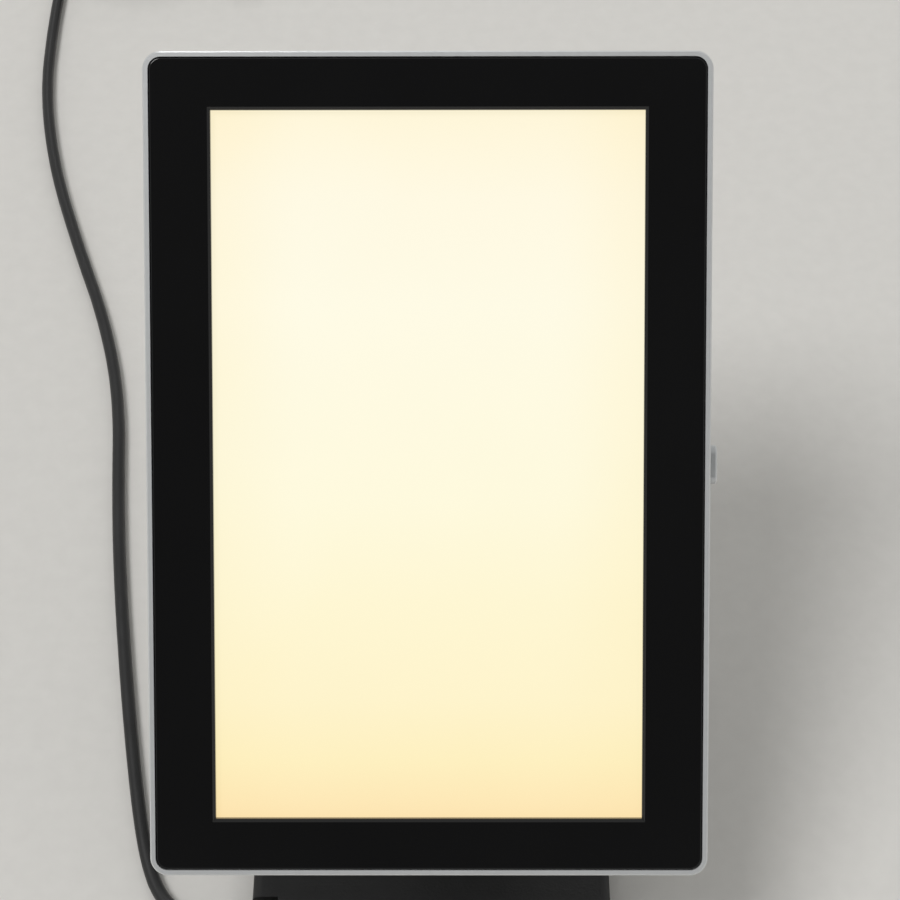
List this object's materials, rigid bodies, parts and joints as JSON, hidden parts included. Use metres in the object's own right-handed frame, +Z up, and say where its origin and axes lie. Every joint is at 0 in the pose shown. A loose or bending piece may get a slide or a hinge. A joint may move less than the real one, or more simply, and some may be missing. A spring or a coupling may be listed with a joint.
{
  "type": "light therapy lamp",
  "caption": "Light therapy lamp: an edge-lit panel in a slim frame that tilts on a short arm over a weighted base, with a side push button and a captive low-voltage lead.",
  "frame": {"origin": "on the table under the hinge axis, in the underside of the rubber mat", "axes": "+Z up; -Y towards the viewer, the side that the lit panel faces; +X to the right as seen from that side, the side with the power button"},
  "size_m": [0.2441, 0.5156, 0.215],
  "materials": {
    "tray": "satin silver paint",
    "bezel": "piano black",
    "bezel_trim": "satin silver",
    "button": "satin silver",
    "screw": "blackened",
    "gasket": "foam",
    "diffuser": "opal",
    "film": "translucent",
    "light_guide": "polished",
    "reflector": "white",
    "spreader": "mill",
    "strip": "white",
    "led": "phosphor",
    "board": "solder mask",
    "ferrite": "sintered",
    "capacitor": "sleeved",
    "chip": "moulded",
    "socket": "moulded",
    "switch": "moulded",
    "wire": "smooth",
    "bracket": "black powder coat",
    "zinc_plate": "zinc plated",
    "pin": "turned",
    "washer": "acetal",
    "cap": "glossy",
    "stand": "fine texture",
    "stand_inside": "moulded",
    "weight": "oiled",
    "rubber": "matte",
    "lead_jacket": "satin",
    "tie": "satin",
    "plug_metal": "nickel plated",
    "plug_tongue": "moulded"
  },
  "bodies": {
    "stand": {"arm": "stand", "arm_cover": "stand", "base_cover": "stand", "base_bottom": "stand_inside", "base_screws": "screw", "rubber_mat": "rubber", "base_weight": "weight", "arm_screws": "screw", "strain_relief": "lead_jacket", "cord_clamp": "stand_inside", "clamp_screws": "screw", "lead_in_base": "lead_jacket", "lead_in_arm": "wire", "lead": "lead_jacket", "lead_coil": "lead_jacket", "lead_tie": "tie", "lead_tail": "lead_jacket", "plug_grip": "lead_jacket", "plug_shell": "plug_metal", "plug_tongue": "plug_tongue"},
    "head": {"rear_housing": "tray", "front_frame": "bezel", "housing_screws": "screw", "window_gasket": "gasket", "diffuser": "diffuser", "diffuser_film": "film", "light_guide": "light_guide", "reflector_sheet": "reflector", "heat_spreader": "spreader", "led_strip_left": "strip", "led_strip_right": "strip", "leds_left": "led", "leds_right": "led", "driver_board": "board", "board_screws": "screw", "choke": "ferrite", "capacitors": "capacitor", "driver_chips": "chip", "wire_sockets": "socket", "push_switch": "switch", "switch_board": "board", "button_guide": "bezel_trim", "led_wires": "wire", "hinge_bracket": "bracket", "backing_plate": "zinc_plate", "bracket_screws": "screw", "hinge_pins": "pin", "hinge_washers": "washer", "hinge_caps": "cap", "lead_in_head": "wire"},
    "button": {"power_button": "button"}
  },
  "joints": [
    {"name": "head_tilt", "type": "hinge", "parent": "stand", "child": "head", "pos_m": [0, 0, 0.092], "axis": [1, 0, 0], "range_deg": [-25, 35]},
    {"name": "power_button", "type": "slide", "parent": "head", "child": "button", "axis": [-1, 0, 0], "range_m": [0, 0.001], "stiffness_N_per_m": 800}
  ]
}
